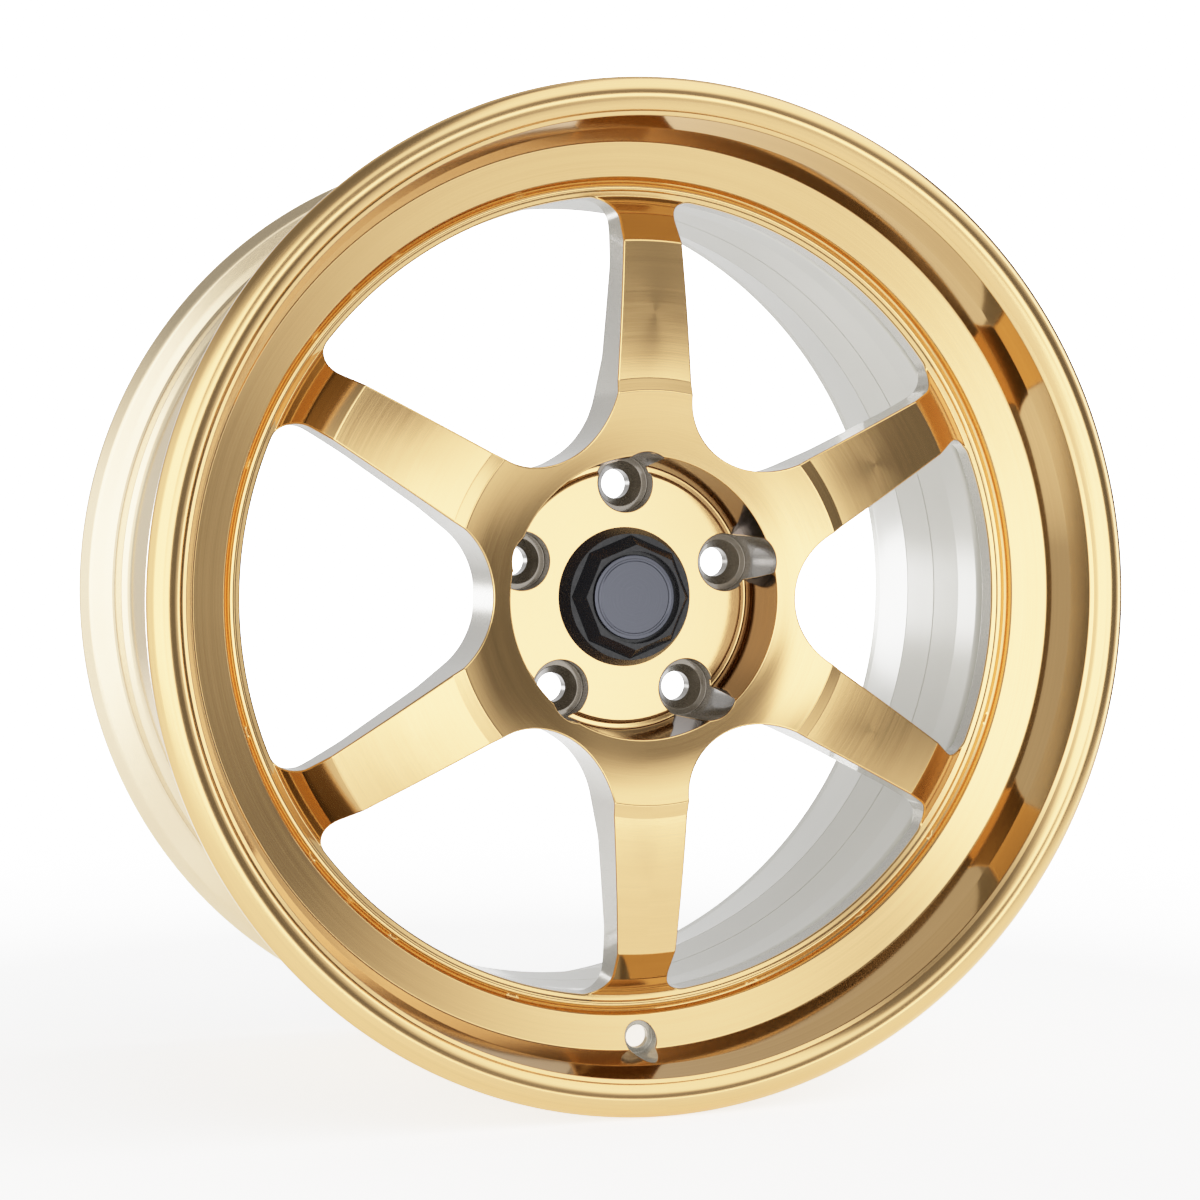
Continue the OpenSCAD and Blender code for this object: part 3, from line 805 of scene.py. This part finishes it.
# name, darker and lighter colour, then for turned_bronze roughness, its swing, anisotropy and line depth,
# and for gloss_paint metallic, roughness and orange peel depth
FINISHES = {
    "turned": turned_bronze("bronze_turned", (0.55, 0.325, 0.13), (0.64, 0.395, 0.165),
                            0.17, 0.04, 0.55, 0.000012),
    # smoother than the turned bronze, and darker: the low roughness is the real polish, the darker colour
    # painted shade
    "polished": turned_bronze("bronze_polished", (0.38, 0.22, 0.085), (0.45, 0.27, 0.11),
                              0.09, 0.02, 0.2, 0.000004),
    # near-black bronze for the wall round the bolt circle: painted shade
    "recess": turned_bronze("bronze_recess", (0.08, 0.052, 0.033), (0.12, 0.078, 0.05),
                            0.1, 0.03, 0.2, 0.000006),
    # the same gloss paint made much darker for the nut pockets and bolt holes: painted shade
    "pocket": gloss_paint("bronze_pocket", (0.085, 0.067, 0.045), (0.125, 0.1, 0.068), 0.5, 0.25, 0.00005),
    "paint": gloss_paint("bronze_paint", (0.24, 0.22, 0.18), (0.3, 0.28, 0.23), 0.6, 0.27, 0.00005),
    "barrel": gloss_paint("bronze_barrel", (0.42, 0.405, 0.35), (0.47, 0.455, 0.4), 0.3, 0.38, 0.00003),
    "outside": gloss_paint("bronze_outside", (0.6, 0.46, 0.28), (0.68, 0.54, 0.34), 0.85, 0.2, 0.00003),
    "emblem": satin_disc(),
}


# ---------------------------------------------------------------- pieces
def build(tag, name, body):
    """Makes the piece that stands for one CAD node, from the faces that carry its name."""
    picked = [f for f in faces if f[2] == tag]
    used = sorted({i for f in picked for i in f[0]})
    at = {v: k for k, v in enumerate(used)}
    verts = [(points[i][0] * MM, -points[i][2] * MM, points[i][1] * MM) for i in used]
    me = bpy.data.meshes.new(name)
    me.from_pydata(verts, [], [[at[i] for i in f[0]] for f in picked])
    me.polygons.foreach_set("use_smooth", [True] * len(me.polygons))
    kinds = sorted({f[3] for f in picked})
    for k in kinds:
        me.materials.append(FINISHES[k])
    me.polygons.foreach_set("material_index", [kinds.index(f[3]) for f in picked])
    me.normals_split_custom_set([Vector((n.x, -n.z, n.y)).normalized() for f in picked for n in f[1]])
    me.update()
    ob = bpy.data.objects.new(name, me)
    bpy.context.scene.collection.objects.link(ob)
    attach(ob, body)
    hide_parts(tag)


for sub in frame["record"]["subparts"]:
    if not sub["node"].startswith("cap_"):
        build(sub["node"], "forged_" + sub["node"], "wheel")
build("cap_emblem", "emblem_disc", "cap")
CAP_FINISHES = {"cap_body": moulded_black(), "cap_spring_ring": plain_wire(), "cap_adhesive": foam()}
for name, mat in CAP_FINISHES.items():
    ob = frame["nodes"][name]
    ob.data.materials.clear()
    ob.data.materials.append(mat)

# ---------------------------------------------------------------- camera
CAM_AT = Vector((-405.7, -1179.6, 36.3)) * MM
LENS, SENSOR = 71.16, 36
YAW, PITCH, ROLL, WHEEL_TURN = (math.radians(a) for a in (-19.29, 1.82, -0.66, 1.2))
away = Vector((math.sin(YAW) * math.cos(PITCH), -math.cos(YAW) * math.cos(PITCH), math.sin(PITCH)))
right = Vector((math.cos(YAW), math.sin(YAW), 0))
up = away.cross(right)
right2 = right * math.cos(ROLL) + up * math.sin(ROLL)
up2 = up * math.cos(ROLL) - right * math.sin(ROLL)
cam_data = bpy.data.cameras.new("camera")
cam_data.lens = LENS
cam_data.sensor_width = SENSOR
cam_data.clip_start = 0.01
cam = bpy.data.objects.new("camera", cam_data)
pose = Matrix((right2, up2, away)).transposed().to_4x4()
pose.translation = CAM_AT
# the wheel was set down turned by WHEEL_TURN, so the camera turns the other way round the axle
cam.matrix_world = Matrix.Rotation(-WHEEL_TURN, 4, "Y") @ pose
bpy.context.scene.collection.objects.link(cam)
bpy.context.scene.camera = cam

# ---------------------------------------------------------------- floor and light
# A pale round floor that fades out into the white studio.
FLOOR_R, FLOOR_N = 1.5, 96
FADE_FROM, FADE_TO = 0.45, 1.45
floor_turns = [math.tau * k / FLOOR_N for k in range(FLOOR_N)]
rim = [(FLOOR_R * math.sin(a), FLOOR_R * math.cos(a), cad_lo.z) for a in floor_turns]
floor_me = bpy.data.meshes.new("floor")
floor_me.from_pydata(rim, [], [tuple(range(FLOOR_N))])
floor = bpy.data.objects.new("floor", floor_me)
bpy.context.scene.collection.objects.link(floor)
pale = Shader("floor_pale", (0.9, 0.9, 0.9), 0.0, 0.7, Emission_Color=(1, 1, 1, 1), Emission_Strength=1.2)
fx, fy, _ = pale.node("SeparateXYZ", {0: pale.place()}).outputs
squares = pale.math("ADD", pale.math("MULTIPLY", fx, fx), pale.math("MULTIPLY", fy, fy))
pale.link(pale.range(pale.math("SQRT", squares), FADE_FROM, FADE_TO, 1.0, 0.0), "Alpha")
floor_me.materials.append(pale.mat)

# The studio: an even room with soft boxes, dark flags and a ceiling, by direction in degrees.
# Azimuth 0 looks out from the painted face, 90 to the right seen from the front.
# A later panel covers the ones before it.
ROOM = 1.3
BACKDROP = 8.0                      # what the camera sees behind the wheel
PANELS = (  # azimuth, elevation, half width, half height, softness, brightness
    (-38, -6, 60, 30, 10, 3.0),     # the lit side of the room
    (50, 58, 62, 26, 8, 3.8),       # ceiling on the right
    (-60, 66, 55, 28, 9, 0.35),     # dark ceiling on the left
    (0, 90, 200, 9, 5, 0.5),        # dark patch overhead
    (-28, -2, 28, 26, 8, 5.8),      # big soft box on the left
    (88, 2, 13, 36, 3, 5.0),        # tall strip on the right
    (117, 0, 16, 40, 3, 0.2),       # dark flag behind it
    (45, -4, 17, 26, 6, 0.26),      # dark side of the room
    (11, 16, 16, 10, 3, 0.5),       # camera stand and its flag
    (13, -23, 14, 9, 5, 1.7),       # shade under the camera
    (12, -2.5, 12.5, 7.2, 3.5, 6.2),  # small soft box beside the camera
    (-170, -1, 12, 4, 2.5, 9.0),    # strip light behind on the left
)
world = bpy.data.worlds.new("studio")
bpy.context.scene.world = world
world.use_nodes = True
wt = world.node_tree
wt.nodes.clear()


def wnode(kind, inputs=(), **props):
    n = wt.nodes.new("ShaderNode" + kind)
    for k, v in props.items():
        setattr(n, k, v)
    for k, v in dict(inputs).items():
        if hasattr(v, "is_output"):
            wt.links.new(v, n.inputs[k])
        else:
            n.inputs[k].default_value = v
    return n


def wmath(op, a, b=0.0):
    return wnode("Math", {0: a, 1: b}, operation=op).outputs[0]


sx, sy, sz = wnode("SeparateXYZ", {0: wnode("TexCoord").outputs["Generated"]}).outputs
azimuth = wmath("MULTIPLY", wmath("ARCTAN2", sx, wmath("MULTIPLY", sy, -1.0)), math.degrees(1))
elevation = wmath("MULTIPLY", wmath("ARCSINE", sz), math.degrees(1))


def band(value, centre, half, soft):
    """1 within half - soft of the centre, falling smoothly to 0 at half + soft."""
    gap = wmath("ABSOLUTE", wmath("SUBTRACT", value, centre))
    return wnode("MapRange", {0: gap, 1: half + soft, 2: max(half - soft, 0.0), 3: 0.0, 4: 1.0},
                 interpolation_type="SMOOTHSTEP").outputs[0]


level = ROOM
for az, el, hw, hh, soft, bright in PANELS:
    mask = wmath("MULTIPLY", band(azimuth, az, hw, soft), band(elevation, el, hh, soft))
    level = wnode("Mix", {0: mask, 2: level, 3: bright}).outputs[0]
seen = wnode("LightPath").outputs["Is Camera Ray"]
level = wnode("Mix", {0: seen, 2: level, 3: BACKDROP}).outputs[0]
wt.links.new(wnode("Background", {"Color": (1, 1, 1, 1), "Strength": level}).outputs[0],
             wnode("OutputWorld").inputs[0])

# photographic response: highlights roll off to white
WHITE = 6.0                         # light level that comes out as white
look = bpy.context.scene.view_settings
look.view_transform = "Standard"
look.use_curve_mapping = True
curves = look.curve_mapping
curves.white_level = (WHITE, WHITE, WHITE)
shoulder = curves.curves[3]
shoulder.points[0].location = (0, 0)
shoulder.points[1].location = (1, 1)
for x in (0.01, 0.025, 0.05, 0.08, 0.12, 0.17, 0.23, 0.31, 0.41, 0.55, 0.75):
    shoulder.points.new(x, (1 - math.exp(-WHITE * x)) / (1 - math.exp(-WHITE)))
curves.update()
